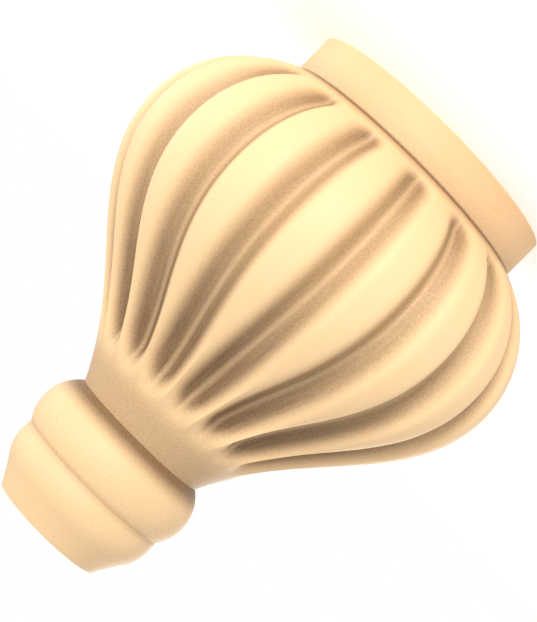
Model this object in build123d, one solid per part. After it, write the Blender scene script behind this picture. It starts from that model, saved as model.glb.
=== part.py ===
from build123d import *
import math
import os

# Turned and fluted wooden finial, the closing knob of a curtain pole.
# The collar's end face lies on the plane z = 0 and the tip points up along +Z.
# All lengths are in millimetres and all angles in degrees.

# Collar, the plain disc that sits against the pole
collar_diameter = 50.8
collar_height = 7.5
collar_rim_chamfer = 0.5

# Bulb, from the collar's top edge to the neck
bulb_diameter = 80.5
bulb_length = 63.7
belly_round = 21.3
belly_fullness = 17.5
neck_diameter = 26.8
neck_length = 20.7
neck_slope = 25.0

# Bead between the neck and the foot
bead_diameter = 33.2
bead_length = 11.2
crease_diameter = 30.2

# Foot, the hollow-sided end piece that closes the finial
foot_diameter = 30.4
foot_length = 11.3
foot_shoulder = 2.4
foot_round = 7.0
foot_round_turn = 34.0
tip_diameter = 22.0

# Flutes carved into the bulb, with depths towards the axis and widths round it
flute_count = 18
flute_depth = 4.0
flute_floor_width = 1.0
flute_wall_width = 2.7
flute_crest_width = 1.5
flute_crest_drop = 0.8
flute_to_collar = 3.0
flute_to_neck = 8.5
collar_ramp_length = 4.5
neck_ramp_length = 4.5
narrowest_crown = 0.5
carving_step = 0.05
carved_rings = 6

# Pilot hole for the dowel screw that joins the finial to the pole
pilot_diameter = 7.0
pilot_depth = 30.0
pilot_point_angle = 118.0

# Heights and radii that follow from the sizes above
collar_radius = collar_diameter / 2
bulb_radius = bulb_diameter / 2
neck_radius = neck_diameter / 2
belly_centre_radius = bulb_radius - belly_round
seam_reach = collar_radius - belly_centre_radius
belly_height = collar_height + math.sqrt(belly_round**2 - seam_reach**2)
neck_height = collar_height + bulb_length
crease_height = neck_height + bead_length
tip_height = crease_height + foot_length


def bulb_outline():
    """Side of the bulb from the collar to the neck: a round belly, then one curve in to the neck."""
    seam_angle = -math.degrees(math.acos(seam_reach / belly_round))
    slope = math.radians(neck_slope)
    belly = CenterArc((belly_centre_radius, belly_height), belly_round, seam_angle, -seam_angle)
    shoulder = Bezier(
        (bulb_radius, belly_height),
        (bulb_radius, belly_height + belly_fullness),
        (neck_radius + neck_length * math.sin(slope), neck_height - neck_length * math.cos(slope)),
        (neck_radius, neck_height),
    )
    return Wire([belly, shoulder])


def bead_outline():
    """Round bead between the neck and the crease."""
    middle = (bead_diameter / 2, (neck_height + crease_height) / 2)
    return ThreePointArc((neck_radius, neck_height), middle, (crease_diameter / 2, crease_height))


def foot_outline():
    """Short shoulder, rounded edge and gently hollowed slope up to the tip."""
    shoulder_height = crease_height + foot_shoulder
    turn = math.radians(foot_round_turn)
    centre_radius = foot_diameter / 2 - foot_round
    round_end = (centre_radius + foot_round * math.cos(turn), shoulder_height + foot_round * math.sin(turn))
    round_corner = (foot_diameter / 2, shoulder_height + foot_round * math.tan(turn / 2))
    shoulder = Line((crease_diameter / 2, crease_height), (foot_diameter / 2, shoulder_height))
    edge = Bezier(shoulder @ 1, round_corner, round_end)
    slope = TangentArc(round_end, (tip_diameter / 2, tip_height), tangent=(-math.sin(turn), math.cos(turn)))
    return [shoulder, edge, slope]


def flute_floor(outline, distance):
    """Point on a flute's floor, level with the point at a distance along the bulb's outline."""
    place = outline @ (distance / outline.length)
    return (place.X - carving_step - flute_depth, place.Y)


def turned(lines):
    """Solid turned about the axis from the lines of its outline, which starts and ends on the axis."""
    start = lines[0] @ 0
    end = lines[-1] @ 1
    return revolve(Plane.XZ * make_face(Wire([*lines, Line(end, start)])), Axis.Z)


def collar_end(outline):
    """Collar with the bulb's plain lower edge, topped by the cone that the flutes ramp down from."""
    edge = outline.trim(0, flute_to_collar / outline.length)
    floor = flute_floor(outline, flute_to_collar + collar_ramp_length)
    end_face = Line((0, 0), (collar_radius - collar_rim_chamfer, 0))
    rim = Line(end_face @ 1, (collar_radius, collar_rim_chamfer))
    wall = Line(rim @ 1, (collar_radius, collar_height))
    ramp = Line(edge @ 1, floor)
    return turned([end_face, rim, wall, *edge.edges(), ramp, Line(floor, (0, floor[1]))])


def tip_end(outline):
    """Plain neck, bead and foot, standing on the cone that the flutes ramp up from."""
    last = outline.length - flute_to_neck
    neck = outline.trim(last / outline.length, 1)
    floor = flute_floor(outline, last - neck_ramp_length)
    ramp = Line(floor, neck @ 0)
    tip_face = Line((tip_diameter / 2, tip_height), (0, tip_height))
    sides = [*neck.edges(), bead_outline(), *foot_outline()]
    return turned([Line((0, floor[1]), floor), ramp, *sides, tip_face])


def pitch_points(half_pitch):
    """Corners over one flute, from crown to crown, as (across, drop below the crown)."""
    floor_edge = flute_floor_width / 2
    wall_top = floor_edge + flute_wall_width
    crown_edge = wall_top + flute_crest_width
    width_share = min(1, (half_pitch - narrowest_crown / 2) / crown_edge)
    half = [(floor_edge, flute_depth), (wall_top, flute_crest_drop), (crown_edge, 0.0)]
    sized = [(across * width_share, drop) for across, drop in half]
    return [(-across, drop) for across, drop in reversed(sized)] + sized


def carved_ring(outline, distance):
    """Level ring round the fluted bulb at a distance along its outline."""
    place = outline @ (distance / outline.length)
    corners = []
    for number in range(flute_count):
        for across, drop in pitch_points(math.pi * place.X / flute_count):
            angle = 2 * math.pi * number / flute_count + across / place.X
            reach = place.X - carving_step - drop
            corners.append((reach * math.cos(angle), reach * math.sin(angle), place.Y))
    return Wire(Polyline(*corners, close=True).edges())


def carved_bulb(outline):
    """Fluted stretch of the bulb, skinned over level rings."""
    first = flute_to_collar
    length = outline.length - flute_to_neck - first
    spots = [first + length * number / (carved_rings - 1) for number in range(carved_rings)]
    return Solid.make_loft([carved_ring(outline, spot) for spot in spots])


def pilot_hole():
    """Blind hole up from the collar's end face, with the cone that a twist drill leaves."""
    radius = pilot_diameter / 2
    point_height = radius / math.tan(math.radians(pilot_point_angle / 2))
    upward = (Align.CENTER, Align.CENTER, Align.MIN)
    bore = Cylinder(radius, pilot_depth, align=upward)
    return bore + Pos(0, 0, pilot_depth) * Cone(radius, 0, point_height, align=upward)


def finial():
    """Whole finial: the fluted bulb between its turned ends, with the hole drilled into the collar."""
    outline = bulb_outline()
    return collar_end(outline) + carved_bulb(outline) + tip_end(outline) - pilot_hole()


os.makedirs("parts", exist_ok=True)
finial_body = finial()
export_step(finial_body, "parts/finial_body.step")
print("overall length", round(tip_height, 2), "mm, widest diameter", bulb_diameter, "mm")
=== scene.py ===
# %% [markdown]
# A turned and fluted wooden finial, the closing knob of a curtain pole, dressed for a picture.
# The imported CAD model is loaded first. It fixes where everything is: the collar's end face lies
# on z = 0, the turning axis is Z, and the tip points up. Blender's lengths are in metres, so a
# length in millimetres is multiplied by MM, or has mm in its name where a material reads it.

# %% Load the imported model
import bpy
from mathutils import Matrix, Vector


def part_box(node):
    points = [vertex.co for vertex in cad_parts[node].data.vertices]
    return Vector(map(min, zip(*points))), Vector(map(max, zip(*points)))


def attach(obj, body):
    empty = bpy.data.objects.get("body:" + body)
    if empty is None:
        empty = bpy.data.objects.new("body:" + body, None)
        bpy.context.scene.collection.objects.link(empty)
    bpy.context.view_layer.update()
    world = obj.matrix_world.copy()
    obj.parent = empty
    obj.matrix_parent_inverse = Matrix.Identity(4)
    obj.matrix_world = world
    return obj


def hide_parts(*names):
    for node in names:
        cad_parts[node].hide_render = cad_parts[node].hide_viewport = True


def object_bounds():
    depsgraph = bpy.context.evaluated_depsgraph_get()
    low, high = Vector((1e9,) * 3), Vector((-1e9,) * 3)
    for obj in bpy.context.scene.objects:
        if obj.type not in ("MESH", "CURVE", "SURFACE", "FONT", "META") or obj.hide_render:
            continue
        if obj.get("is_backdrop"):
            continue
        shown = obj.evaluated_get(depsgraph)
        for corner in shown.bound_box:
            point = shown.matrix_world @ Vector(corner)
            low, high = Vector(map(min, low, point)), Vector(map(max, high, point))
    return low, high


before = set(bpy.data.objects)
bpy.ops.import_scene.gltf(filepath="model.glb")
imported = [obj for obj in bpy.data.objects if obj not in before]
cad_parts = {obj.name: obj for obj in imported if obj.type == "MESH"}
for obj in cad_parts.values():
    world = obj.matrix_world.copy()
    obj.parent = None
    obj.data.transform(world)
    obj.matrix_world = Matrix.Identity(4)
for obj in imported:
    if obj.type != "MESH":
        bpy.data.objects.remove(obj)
print("CAD nodes:", list(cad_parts))

# %% [markdown]
# Operators act on what is selected, and the load leaves its objects selected. Selecting by hand
# before each operator is easy to forget, so small helpers do it. The box of the loaded model is
# kept too, because the dressed finial has to stay inside it.

# %% Tools of the trade
import math

import bpy
import bmesh
from mathutils import Matrix, Vector

MM = 0.001


def in_mm(*lengths):
    """Lengths as rounded millimetres, for printing."""
    return [round(length / MM, 2) for length in lengths]


def deselect_all():
    """Leaves edit mode and empties the selection, which the load leaves full."""
    if bpy.context.mode != "OBJECT":
        bpy.ops.object.mode_set(mode="OBJECT")
    bpy.ops.object.select_all(action="DESELECT")


def make_only(piece):
    """Selects one piece and makes it the active one, which operators act on."""
    deselect_all()
    piece.select_set(True)
    bpy.context.view_layer.objects.active = piece


def edit_all(piece):
    """Opens a piece in edit mode with all of it selected."""
    make_only(piece)
    bpy.ops.object.mode_set(mode="EDIT")
    bpy.ops.mesh.select_all(action="SELECT")


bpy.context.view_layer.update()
cad_low, cad_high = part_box("finial_body")
print("CAD box in mm:", in_mm(*cad_low, *cad_high))

# %% [markdown]
# The camera comes first, because every other choice is judged through it. The photograph shows
# the finial lying at 45 degrees with its tip at the lower left, seen almost square to its axis.
# Nothing on the finial is turned to get that: the camera stands beside the upright piece and is
# rolled about its own line of sight. Its height, distance and lens were fitted to the outline.

# %% Camera
VIEW_AZIMUTH = math.radians(-4.7)
VIEW_ELEVATION = math.radians(1.6)
VIEW_ROLL = math.radians(-135.0)
VIEW_DISTANCE = 303.3 * MM
VIEW_HEIGHT = 48.85 * MM
VIEW_SIDESTEP = -0.586 * MM
LENS_LENGTH = 101.3
NEAREST_SEEN = 10 * MM

turn = Matrix.Rotation(VIEW_AZIMUTH, 4, "Z")
upright = Matrix.Rotation(math.pi / 2 - VIEW_ELEVATION, 4, "X")
roll = Matrix.Rotation(VIEW_ROLL, 4, "Z")
stand = Matrix.Translation((VIEW_SIDESTEP, -VIEW_DISTANCE, VIEW_HEIGHT))

deselect_all()
bpy.ops.object.camera_add()
camera = bpy.context.active_object
camera.name = "photo_camera"
camera.matrix_world = turn @ stand @ upright @ roll
camera.data.lens = LENS_LENGTH
camera.data.clip_start = NEAREST_SEEN
bpy.context.scene.camera = camera
print("camera at mm:", in_mm(*camera.matrix_world.translation))

# %% [markdown]
# The finial is turned on a lathe before it is carved, so its form is one outline, swept round an
# axis. A turner marks such sizes on a story stick, from the collar to the tip. The bulb is kept
# a hair smaller than the CAD model, so that the finer form can't stick out of its box.

# %% Sizes of the turned form
INSIDE_CAD = 0.02 * MM
COLLAR_RADIUS = 25.4 * MM
COLLAR_HEIGHT = 7.5 * MM
BULB_RADIUS = cad_high.y - INSIDE_CAD
BELLY_ROUND = 21.3 * MM
BELLY_FULLNESS = 17.5 * MM
NECK_RADIUS = 13.4 * MM
NECK_HEIGHT = 71.2 * MM
NECK_LENGTH = 20.7 * MM
NECK_SLOPE = math.radians(25.0)
BEAD_RADIUS = 16.6 * MM
CREASE_RADIUS = 15.1 * MM
CREASE_HEIGHT = 82.4 * MM
FOOT_RADIUS = 15.2 * MM
FOOT_SHOULDER = 2.4 * MM
FOOT_ROUND = 7.0 * MM
FOOT_TURN = math.radians(34.0)
TIP_RADIUS = 11.0 * MM
TIP_HEIGHT = cad_high.z
HOLE_RADIUS = 3.5 * MM
HOLE_DEPTH = 30.0 * MM
DRILL_POINT_ANGLE = math.radians(118.0)

belly_centre = BULB_RADIUS - BELLY_ROUND
seam_angle = -math.acos((COLLAR_RADIUS - belly_centre) / BELLY_ROUND)
belly_height = COLLAR_HEIGHT - BELLY_ROUND * math.sin(seam_angle)
hole_end = HOLE_DEPTH + HOLE_RADIUS / math.tan(DRILL_POINT_ANGLE / 2)
print("belly is widest at mm, hole ends at mm:", in_mm(belly_height, hole_end))


# %% [markdown]
# The outline is half of the long section. A mesh circle could be extruded into it ring by ring,
# but a curve holds a true arc with two handles. So every stretch of the outline is one Bezier
# curve: a start, an end, and two handles that say how it leaves and arrives. One helper draws
# round and straight stretches alike, and turns each into a chain of edges.

# %% A helper that draws one stretch of the outline
def along(start, angle, length):
    """Point at a length from a start, in a direction given as an angle from the radius."""
    return (start[0] + length * math.cos(angle), start[1] + length * math.sin(angle))


def round_handles(centre, radius, start_angle, end_angle):
    """Four points of a curve that follows an arc: its ends and the two handles between them."""
    reach = 4 / 3 * math.tan((end_angle - start_angle) / 4) * radius
    start = along(centre, start_angle, radius)
    end = along(centre, end_angle, radius)
    return [
        start,
        along(start, start_angle + math.pi / 2, reach),
        along(end, end_angle - math.pi / 2, reach),
        end,
    ]


def straight_handles(start, end):
    """Four points of a curve that is a straight line, for use beside the round ones."""
    return [start, start, end, end]


def draw_stretch(name, four_points, steps):
    """Adds a curve in the XZ plane from four points, as (radius, height), and makes it edges."""
    deselect_all()
    bpy.ops.curve.primitive_bezier_curve_add()
    stretch = bpy.context.active_object
    stretch.name = name
    first, last = stretch.data.splines[0].bezier_points
    start, leave, arrive, end = [(radius, 0.0, height) for radius, height in four_points]
    for knot in (first, last):
        knot.handle_left_type = "FREE"
        knot.handle_right_type = "FREE"
    first.co, first.handle_left, first.handle_right = start, start, leave
    last.co, last.handle_left, last.handle_right = end, arrive, end
    stretch.data.splines[0].resolution_u = steps
    make_only(stretch)
    bpy.ops.object.convert(target="MESH")
    return bpy.context.active_object


belly = round_handles((belly_centre, belly_height), BELLY_ROUND, seam_angle, 0)
print("belly leaves the collar at mm:", in_mm(*belly[0]), "towards:", in_mm(*belly[1]))


# %% [markdown]
# Above the belly the bulb runs in to the neck on one long curve. The bead is one arc through
# three points. The foot has a short shoulder, a rounded edge and a gently hollowed slope, whose
# two handles lean the same way off the straight line between its ends.

# %% Shoulder, bead and foot
def circle_through(first, second, third):
    """Centre and radius of the circle through three points."""
    (ax, ay), (bx, by), (cx, cy) = first, second, third
    a_square, b_square, c_square = ax**2 + ay**2, bx**2 + by**2, cx**2 + cy**2
    share = 2 * (ax * (by - cy) + bx * (cy - ay) + cx * (ay - by))
    across = (a_square * (by - cy) + b_square * (cy - ay) + c_square * (ay - by)) / share
    up = (a_square * (cx - bx) + b_square * (ax - cx) + c_square * (bx - ax)) / share
    return (across, up), math.hypot(ax - across, ay - up)


neck = (NECK_RADIUS, NECK_HEIGHT)
crease = (CREASE_RADIUS, CREASE_HEIGHT)
shoulder = [
    (BULB_RADIUS, belly_height),
    (BULB_RADIUS, belly_height + BELLY_FULLNESS),
    along(neck, NECK_SLOPE - math.pi / 2, NECK_LENGTH),
    neck,
]

bead_middle = (BEAD_RADIUS, (NECK_HEIGHT + CREASE_HEIGHT) / 2)
bead_centre, bead_round = circle_through(neck, bead_middle, crease)
bead_start = math.atan2(neck[1] - bead_centre[1], neck[0] - bead_centre[0])
bead_end = math.atan2(crease[1] - bead_centre[1], crease[0] - bead_centre[0])
print("bead is round with a radius of mm:", in_mm(bead_round))

foot_start = (FOOT_RADIUS, CREASE_HEIGHT + FOOT_SHOULDER)
foot_centre = (FOOT_RADIUS - FOOT_ROUND, foot_start[1])
foot_edge = along(foot_centre, FOOT_TURN, FOOT_ROUND)
tip_edge = (TIP_RADIUS, TIP_HEIGHT)
reach = math.dist(foot_edge, tip_edge) / 3
fall = math.atan2(tip_edge[1] - foot_edge[1], tip_edge[0] - foot_edge[0])
leaving = FOOT_TURN + math.pi / 2
arriving = 2 * fall - leaving
foot_slope = [
    foot_edge,
    along(foot_edge, leaving, reach),
    along(tip_edge, arriving + math.pi, reach),
    tip_edge,
]

# %% [markdown]
# The stretches follow each other from the bottom of the drilled hole, over the collar, up the
# piece and in to the middle of the tip. The long curves of the bulb get the most steps, because
# the flutes need points there. Joined end to end, with the doubled points merged, they are one
# chain that starts and ends on the axis.

# %% Draw the outline
OUTLINE_MERGE = 0.01 * MM
hole_corner = (HOLE_RADIUS, HOLE_DEPTH)
hole_mouth = (HOLE_RADIUS, 0)
collar_rim = (COLLAR_RADIUS, 0)
seam = (COLLAR_RADIUS, COLLAR_HEIGHT)
bead = round_handles(bead_centre, bead_round, bead_start, bead_end)
foot_round = round_handles(foot_centre, FOOT_ROUND, 0, FOOT_TURN)

# Each entry has the stretch's name, its four points and its number of steps.
outline = [
    ("hole_point", straight_handles((0, hole_end), hole_corner), 1),
    ("hole_wall", straight_handles(hole_corner, hole_mouth), 4),
    ("collar_face", straight_handles(hole_mouth, collar_rim), 6),
    ("collar_wall", straight_handles(collar_rim, seam), 4),
    ("belly", belly, 36),
    ("shoulder", shoulder, 64),
    ("bead", bead, 20),
    ("foot_shoulder", straight_handles(crease, foot_start), 3),
    ("foot_round", foot_round, 8),
    ("foot_slope", foot_slope, 8),
    ("tip_face", straight_handles(tip_edge, (0, TIP_HEIGHT)), 5),
]
stretches = [draw_stretch(*entry) for entry in outline]

deselect_all()
for stretch in stretches:
    stretch.select_set(True)
bpy.context.view_layer.objects.active = stretches[0]
bpy.ops.object.join()
body = bpy.context.active_object
body.name = "fluted_finial"
body.data.name = "fluted_finial"
edit_all(body)
bpy.ops.mesh.remove_doubles(threshold=OUTLINE_MERGE)
bpy.ops.object.mode_set(mode="OBJECT")
print("outline points:", len(body.data.vertices))

# %% [markdown]
# The outline now becomes a solid form. A lathe turns it, and Blender's spin does the same. Only
# one pitch of the carving is spun, a wedge for one flute, because all eighteen flutes are alike:
# the wedge is shaped once and copied round afterwards. It is turned back by half a pitch, so
# that the flute's middle lies on the X axis.

# %% Spin one wedge
FLUTE_COUNT = 18
WEDGE_STEPS = 24
WEDGE_MERGE = 0.001 * MM
pitch = 2 * math.pi / FLUTE_COUNT


def close_seams(distance):
    """Merges doubled points, turns the faces outwards and leaves edit mode."""
    bpy.ops.mesh.select_all(action="SELECT")
    bpy.ops.mesh.remove_doubles(threshold=distance)
    bpy.ops.mesh.normals_make_consistent(inside=False)
    bpy.ops.object.mode_set(mode="OBJECT")


edit_all(body)
bpy.ops.mesh.spin(steps=WEDGE_STEPS, angle=pitch, center=(0, 0, 0), axis=(0, 0, 1))
close_seams(WEDGE_MERGE)
body.rotation_euler.z = pitch / 2
bpy.ops.object.transform_apply(location=False, rotation=True, scale=False)
off_axis = [vertex.co for vertex in body.data.vertices if vertex.co.x > MM]
angles = [math.degrees(math.atan2(point.y, point.x)) for point in off_axis]
print("wedge runs over degrees:", round(min(angles), 2), "to", round(max(angles), 2))
print("faces in the wedge:", len(body.data.polygons))

# %% [markdown]
# A gouge leaves a flute with a narrow round floor, sloping walls and a soft edge at the crown.
# A cutting tool and a Boolean could make it, but they leave ragged faces that shade badly. Here
# the section is a formula instead. It gives the depth at any distance from the flute's middle,
# and a second one lets the depth rise softly from nothing at the flute's two ends.

# %% Section and ends of the flute
FLUTE_HALF_WIDTH = 4.01 * MM
WIDENING = 0.015
WALL_SLOPE = 1.40
FLOOR_ROUND = 1.39 * MM
CREST_ROUND = 0.4165 * MM
COLLAR_END = 7.9 * MM
COLLAR_FADE = 3.4 * MM
NECK_END = 65.5 * MM
NECK_FADE = 7.0 * MM


def cut_depth(across, half_width):
    """Depth of the flute's section at a distance from its middle."""
    inside = (half_width - math.hypot(across, FLOOR_ROUND)) / CREST_ROUND
    return WALL_SLOPE * CREST_ROUND * math.log1p(math.exp(inside))


def rise(distance, length):
    """Goes softly from 0 at an end of the flute to 1 at a length from it."""
    share = min(1.0, max(0.0, distance / length))
    return share * share * (3 - 2 * share)


print("depth in mm at the middle of the belly:", in_mm(cut_depth(0, FLUTE_HALF_WIDTH)))

# %% [markdown]
# Every point of the wedge gets a weight that says how deep it is cut, as in weight painting, and
# one Displace modifier pushes the points in along X by their weight. On a wedge this narrow that
# is nearly straight towards the axis. The weights are also kept on the points as an attribute,
# so that the coat can tell later how deep it lies. The wall of the hole stays as it is.

# %% Weigh the wedge and sink the flute
FULL_PUSH = 5.0 * MM
HOLE_MARGIN = 2 * HOLE_RADIUS

carving = body.vertex_groups.new(name="carving")
weights = []
for vertex in body.data.vertices:
    height = vertex.co.z
    around = math.hypot(vertex.co.x, vertex.co.y)
    weights.append(0.0)
    if not COLLAR_END < height < NECK_END or around < HOLE_MARGIN:
        continue
    half_width = FLUTE_HALF_WIDTH + WIDENING * (height - belly_height)
    across = around * abs(math.atan2(vertex.co.y, vertex.co.x))
    depth = cut_depth(across, half_width) - cut_depth(around * pitch / 2, half_width)
    depth *= rise(height - COLLAR_END, COLLAR_FADE) * rise(NECK_END - height, NECK_FADE)
    weights[-1] = max(0.0, depth) / FULL_PUSH
    carving.add([vertex.index], weights[-1], "REPLACE")
depths = body.data.attributes.new("flute_depth", "FLOAT", "POINT")
depths.data.foreach_set("value", weights)

push = body.modifiers.new("sink_flute", "DISPLACE")
push.direction = "X"
push.mid_level = 0.0
push.strength = -FULL_PUSH
push.vertex_group = "carving"
make_only(body)
bpy.ops.object.modifier_apply(modifier=push.name)
print("the flute is deepest by mm:", in_mm(max(weights) * FULL_PUSH))

# %% [markdown]
# The wedge is copied round the axis seventeen times. Its two edges lie halfway along two crowns,
# so neighbours meet on a smooth spot, and merging their shared points closes the form. Only the
# sharp edges of collar, crease and tip are left to show as edges; all else is shaded smooth.

# %% Copy the wedge round
CROWN_MERGE = 0.004 * MM
SHARP_ANGLE = math.radians(28)

edit_all(body)
bpy.ops.mesh.spin(
    steps=FLUTE_COUNT - 1,
    angle=2 * math.pi - pitch,
    center=(0, 0, 0),
    axis=(0, 0, 1),
    dupli=True,
)
close_seams(CROWN_MERGE)
bpy.ops.object.shade_smooth_by_angle(angle=SHARP_ANGLE)

form = bmesh.new()
form.from_mesh(body.data)
open_edges = sum(1 for edge in form.edges if len(edge.link_faces) != 2)
print("faces:", len(form.faces), "open edges:", open_edges)
print("volume in cm3:", round(form.calc_volume() * 1e6, 2))
form.free()


# %% [markdown]
# Finishes are mixed in nodes. Drawn by hand a graph soon becomes a web, so two small helpers
# are made first: one adds any node, and one lets the value of a socket be used in plain sums.

# %% A bench for mixing finishes
class Value:
    """The output of a node, which can be added, multiplied and so on like a number."""

    def __init__(self, finish, socket):
        self.finish = finish
        self.socket = socket

    def other(self, output):
        """Another output of the same node."""
        return Value(self.finish, self.socket.node.outputs[output])

    def math(self, operation, *others):
        sockets = dict(enumerate([self, *others]))
        return self.finish.add("ShaderNodeMath", {"operation": operation}, sockets)

    def __add__(self, other):
        return self.math("ADD", other)

    def __radd__(self, other):
        return self.math("ADD", other)

    def __sub__(self, other):
        return self.math("SUBTRACT", other)

    def __rsub__(self, other):
        return (self * -1.0).math("ADD", other)

    def __mul__(self, other):
        return self.math("MULTIPLY", other)

    def __rmul__(self, other):
        return self.math("MULTIPLY", other)

    def __truediv__(self, other):
        return self.math("DIVIDE", other)

    def step(self, low, high):
        """Rises softly from 0 to 1 while the value goes from low to high."""
        sockets = {"Value": self, "From Min": low, "From Max": high}
        return self.finish.add("ShaderNodeMapRange", {"interpolation_type": "SMOOTHSTEP"}, sockets)


class Finish:
    """A node tree being filled, for a material or for the room."""

    def __init__(self, owner):
        owner.use_nodes = True
        self.tree = owner.node_tree
        self.tree.nodes.clear()

    def add(self, kind, settings, sockets, output=0):
        """Adds a node, sets it, feeds its sockets, and returns one of its outputs."""
        node = self.tree.nodes.new(kind)
        for name, setting in settings.items():
            setattr(node, name, setting)
        for name, feed in sockets.items():
            if isinstance(feed, Value):
                self.tree.links.new(feed.socket, node.inputs[name])
            else:
                node.inputs[name].default_value = feed
        return Value(self, node.outputs[output]) if node.outputs else None

    def mix(self, factor, first, second, blend="MIX"):
        """Mixes two colours, which enter a Mix node at sockets 6 and 7 and leave it at 2."""
        settings = {"data_type": "RGBA", "blend_type": blend}
        return self.add("ShaderNodeMix", settings, {0: factor, 6: first, 7: second}, output=2)

    def noise(self, place, scale):
        """Cloudy values between 0 and 1, mostly near 0.5."""
        sockets = {"Vector": place, "Scale": scale, "Detail": 2.0, "Roughness": 0.6}
        return self.add("ShaderNodeTexNoise", {}, sockets)


# %% [markdown]
# The coat is a matte cream. Painted shade makes it warmer and darker in the walls of the flutes
# and in the tight corners, where light reaches less. One flat colour would look like plastic. A
# picture could be painted and wrapped round the finial, but masks worked out from the piece
# itself stay sharp and have no seam. They need to know where a point lies: its height, its
# distance from the axis and from the nearest flute's middle, and the depth that was kept on the
# points when the flutes were sunk.

# %% Where a point of the coat lies
coat_material = bpy.data.materials.new("cream_coat")
coat = Finish(coat_material)
place = coat.add("ShaderNodeTexCoord", {}, {}, output="Object")
side_x = coat.add("ShaderNodeSeparateXYZ", {}, {0: place}, output="X")
side_y = side_x.other("Y")
height_mm = side_x.other("Z") / MM
radius_mm = (side_x * side_x + side_y * side_y).math("SQRT") / MM
angle = side_y.math("ARCTAN2", side_x)
across_mm = angle.math("PINGPONG", pitch / 2) * radius_mm
stored = coat.add("ShaderNodeAttribute", {"attribute_name": "flute_depth"}, {}, output="Fac")
cut_mm = stored * (FULL_PUSH / MM)
print("nodes that find the place:", len(coat.tree.nodes))

# %% [markdown]
# In the flutes the painted shade grows with the depth, is held back along the line of the floor,
# which paints a lit line there, and is strongest towards the neck and the collar, where the
# flutes are narrow or end. Faint marks, as a gouge leaves them, run along each flute and break
# up that painted shade: a noise that is read in lanes beside the flute's middle and drawn out
# along the height, with each half flute shifted to a place of its own.

# %% Painted shade and marks in the flutes
WALL_DEPTHS = (0.0, 2.8)
# Along the floor of a flute the painted shade falls to a share of itself, which paints a lit line.
FLOOR_LINE = (0.0, 0.9)
FLOOR_SHADE_SHARE = 0.65
WALL_SHADE_SHARE = 0.56
NECK_WALLS = (26, 60)
NECK_WALL_SHADE_SHARE = 0.42
COLLAR_WALLS = (8, 20)
COLLAR_WALL_SHADE_SHARE = 0.3
MARK_STRENGTH = 0.35
MARK_SCALE = 2.6
MARK_SHORTENING = 0.05
MARK_SHIFT = 7.3

# Painted shade in the flute walls, deeper where the cut is deeper and towards the neck and collar.
off_floor = across_mm.step(*FLOOR_LINE) * (1.0 - FLOOR_SHADE_SHARE) + FLOOR_SHADE_SHARE
neck_wall_shade = height_mm.step(*NECK_WALLS) * NECK_WALL_SHADE_SHARE
collar_wall_shade = (1.0 - height_mm.step(*COLLAR_WALLS)) * COLLAR_WALL_SHADE_SHARE
wall = cut_mm.step(*WALL_DEPTHS) * off_floor * (neck_wall_shade + collar_wall_shade + WALL_SHADE_SHARE)

half_flute = (angle / (pitch / 2)).math("FLOOR") * MARK_SHIFT
sockets = {"X": across_mm, "Y": half_flute, "Z": height_mm * MARK_SHORTENING}
lane = coat.add("ShaderNodeCombineXYZ", {}, sockets)
marks = coat.noise(lane, MARK_SCALE)
wall = wall * ((marks - 0.5) * MARK_STRENGTH + 1.0)
print("nodes with the flutes:", len(coat.tree.nodes))

# %% [markdown]
# The other masks of painted shade are bands and lines round the piece, so the height alone gives
# them: the dark corners and joints where shade falls. Each is a soft step up, a soft step down,
# or the distance from a line. Those at a joint of two turned forms begin with a step so short
# that it looks like an edge.

# %% Painted shade in the corners and bands
NECK_MM = NECK_HEIGHT / MM
COLLAR_MM = COLLAR_HEIGHT / MM
CREASE_MM = CREASE_HEIGHT / MM
NECK_EDGE_MM = 0.05
SEAM_EDGE_MM = 0.01
BEAD_CORNER_MM = 4.0
SEAM_BAND_MM = 4.5
CREASE_WIDTH_MM = 1.2
NECK_BAND = (60, 68)
BULB_EDGE = (7.6, 9.4)
SEAM_WIDTH = (0.05, 0.5)

# Painted shade in the corners: on the bead beside the neck, on the neck, in the crease, on the
# collar just below the seam, on the seam and on the bulb just above it.
past_neck = height_mm.step(NECK_MM - NECK_EDGE_MM, NECK_MM)
bead_corner_shade = past_neck * (1.0 - height_mm.step(NECK_MM, NECK_MM + BEAD_CORNER_MM))
neck_band_shade = height_mm.step(*NECK_BAND) * (1.0 - past_neck)
past_seam = height_mm.step(COLLAR_MM - SEAM_EDGE_MM, COLLAR_MM)
bulb_edge_shade = past_seam * (1.0 - height_mm.step(*BULB_EDGE))
collar_band = 1.0 - past_seam
below_seam = 1.0 - height_mm.step(COLLAR_MM, COLLAR_MM + SEAM_EDGE_MM)
seam_shade_band = below_seam * height_mm.step(COLLAR_MM - SEAM_BAND_MM, COLLAR_MM)
seam_shade_line = 1.0 - (height_mm - COLLAR_MM).math("ABSOLUTE").step(*SEAM_WIDTH)
crease_shade_line = 1.0 - (height_mm - CREASE_MM).math("ABSOLUTE").step(0.0, CREASE_WIDTH_MM)
print("nodes with the bands:", len(coat.tree.nodes))

# %% [markdown]
# The masks are added up to one amount of painted shade, each with its own share. It mixes the
# cream with a warmer, darker colour that stands for shade. Fine specks break up both, more where
# the painted shade is deep, and the same noise lifts the surface by a hair, so the coat catches
# light as a brushed one does.

# %% Mix the coat
CREAM = (0.97, 0.66, 0.36, 1)
# The warm dark colour is painted shade, mixed into the cream where the masks put shade.
PAINTED_SHADE_COLOUR = (0.24, 0.14, 0.068, 1)
FULL_PAINTED_SHADE = 1.08
GRAIN_SCALE = 5200.0
GRAIN_STRETCH = (1, 1, 0.5)
SPECK_PLAIN = 0.2
SPECK_IN_SHADE = 1.1
BUMP_STRENGTH = 0.08
BUMP_HEIGHT = 0.1 * MM
COAT_ROUGHNESS = 0.55
COAT_SHINE = 0.35

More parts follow.
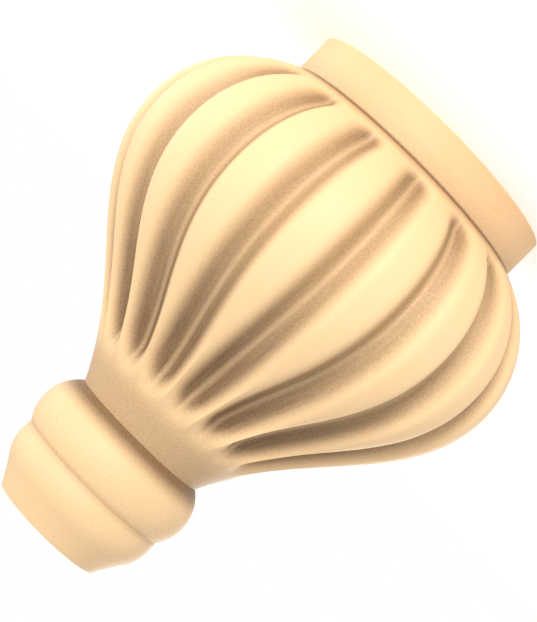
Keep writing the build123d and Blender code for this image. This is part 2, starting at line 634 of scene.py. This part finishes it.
# Each entry has a mask and the share of the full painted shade that it adds.
shares = [
    # The bead and foot above the neck and the whole collar also get a little painted shade.
    (bead_corner_shade, 0.95),
    (neck_band_shade, 0.5),
    (past_neck, 0.17),
    (collar_band, 0.14),
    (crease_shade_line, 0.22),
    (seam_shade_line, 0.6),
    (seam_shade_band, 0.15),
    (bulb_edge_shade, 0.6),
]
# The painted shade of the flute walls and of every mask is summed to one amount here.
painted_shade = wall
for mask, share in shares:
    painted_shade = painted_shade + mask * share
painted_shade = painted_shade.math("MINIMUM", FULL_PAINTED_SHADE)

stretching = {"Vector": place, "Scale": GRAIN_STRETCH}
grain = coat.noise(coat.add("ShaderNodeMapping", {"vector_type": "POINT"}, stretching), GRAIN_SCALE)
speck = (grain - 0.5) * (painted_shade * SPECK_IN_SHADE + SPECK_PLAIN) + 1.0
grey = coat.add("ShaderNodeCombineColor", {}, {"Red": speck, "Green": speck, "Blue": speck})
colour = coat.mix(1.0, coat.mix(painted_shade, CREAM, PAINTED_SHADE_COLOUR), grey, blend="MULTIPLY")
lifting = {"Strength": BUMP_STRENGTH, "Distance": BUMP_HEIGHT, "Height": grain}
bump = coat.add("ShaderNodeBump", {}, lifting)
surface = coat.add(
    "ShaderNodeBsdfPrincipled",
    {},
    {
        "Base Color": colour,
        "Roughness": COAT_ROUGHNESS,
        "Specular IOR Level": COAT_SHINE,
        "Normal": bump,
    },
)
coat.add("ShaderNodeOutputMaterial", {}, {"Surface": surface})
print("coat nodes:", len(coat.tree.nodes))

# %% [markdown]
# The fine form now takes the place of the CAD solid: it gets the coat, moves with the body that
# the solid moves with, and hides the solid.

# %% Put the dressed finial in its place
body.data.materials.clear()
body.data.materials.append(coat_material)
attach(body, "root")
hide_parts("finial_body")
print("finish on the finial:", [slot.name for slot in body.material_slots])


# %% [markdown]
# The finial stands on a plain white sheet in an even pale room. More light would make both
# white, and it would bleach the finial too. So a Mix Shader swaps in a brighter sheet and room
# only for rays that look straight at them. What they shed on the finial stays the same, and the
# sheet still takes its shadow. The sheet itself casts none, so light can come from below it.

# %% White sheet and pale room
SHEET_SIZE = 6
SHEET_COLOUR = (0.85, 0.85, 0.85, 1)
SHEET_LIFT = 0.42
ROOM_COLOUR = (1, 1, 1, 1)
ROOM_LIGHT = 0.72
ROOM_SEEN = 1.0


def seen_directly(finish):
    """1 for rays that look or reflect straight from the camera, and 0 for rays that only light."""
    seen = finish.add("ShaderNodeLightPath", {}, {}, output="Is Camera Ray")
    seen = seen + seen.other("Is Glossy Ray") + seen.other("Is Transmission Ray")
    return seen.math("MINIMUM", 1.0)


deselect_all()
bpy.ops.mesh.primitive_plane_add(size=SHEET_SIZE, location=(0, 0, 0))
floor = bpy.context.active_object
floor.name = "floor_sheet"
floor.visible_shadow = False
floor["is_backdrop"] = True
sheet_material = bpy.data.materials.new("white_sheet")
sheet = Finish(sheet_material)
matte = sheet.add("ShaderNodeBsdfDiffuse", {}, {"Color": SHEET_COLOUR})
lift = sheet.add("ShaderNodeEmission", {}, {"Strength": SHEET_LIFT})
lifted = sheet.add("ShaderNodeAddShader", {}, {0: matte, 1: lift})
shown_sheet = sheet.add("ShaderNodeMixShader", {}, {0: seen_directly(sheet), 1: matte, 2: lifted})
sheet.add("ShaderNodeOutputMaterial", {}, {"Surface": shown_sheet})
floor.data.materials.append(sheet_material)

world = bpy.data.worlds.new("pale_room")
bpy.context.scene.world = world
room = Finish(world)
pale = room.add("ShaderNodeBackground", {}, {"Color": ROOM_COLOUR, "Strength": ROOM_LIGHT})
white = room.add("ShaderNodeBackground", {}, {"Color": ROOM_COLOUR, "Strength": ROOM_SEEN})
shown_room = room.add("ShaderNodeMixShader", {}, {0: seen_directly(room), 1: pale, 2: white})
room.add("ShaderNodeOutputWorld", {}, {"Surface": shown_room})
print("sheet nodes:", len(sheet.tree.nodes), "room nodes:", len(room.tree.nodes))


# %% [markdown]
# The lamps are broad and far away, so the shadows have no hard edge, as under a studio's soft
# boxes. The key lamp shines from the camera's side and from under the collar, along the flutes
# and across them a little, which gives each flute a brighter and a darker wall. Three weaker
# lamps light the back and the two sides, so that the finial looks right from everywhere.

# %% Lamps
def add_lamp(name, towards, power, softness):
    """Adds a broad far lamp. The direction points from the finial to the lamp."""
    deselect_all()
    bpy.ops.object.light_add(type="SUN")
    lamp = bpy.context.active_object
    lamp.name = name
    lamp.data.energy = power
    lamp.data.angle = math.radians(softness)
    lamp.rotation_mode = "QUATERNION"
    lamp.rotation_quaternion = Vector(towards).to_track_quat("Z", "Y")
    print(name, "power", power)


add_lamp("key_lamp", towards=(0.24, -0.88, -0.38), power=2.4, softness=20)
add_lamp("back_fill_lamp", towards=(-0.20, 0.95, 0.30), power=1.0, softness=40)
add_lamp("left_fill_lamp", towards=(0.92, 0.25, -0.10), power=0.9, softness=40)
add_lamp("right_fill_lamp", towards=(-0.92, 0.25, -0.10), power=0.4, softness=40)
bpy.context.scene.view_settings.view_transform = "Standard"

# %% [markdown]
# Dressing a part must not change its size. The box of the whole piece as shown is printed now;
# the box of the CAD model was printed straight after the load.

# %% Sizes and the end
shown_low, shown_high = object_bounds()
print("shown box in mm:", in_mm(*shown_low, *shown_high))
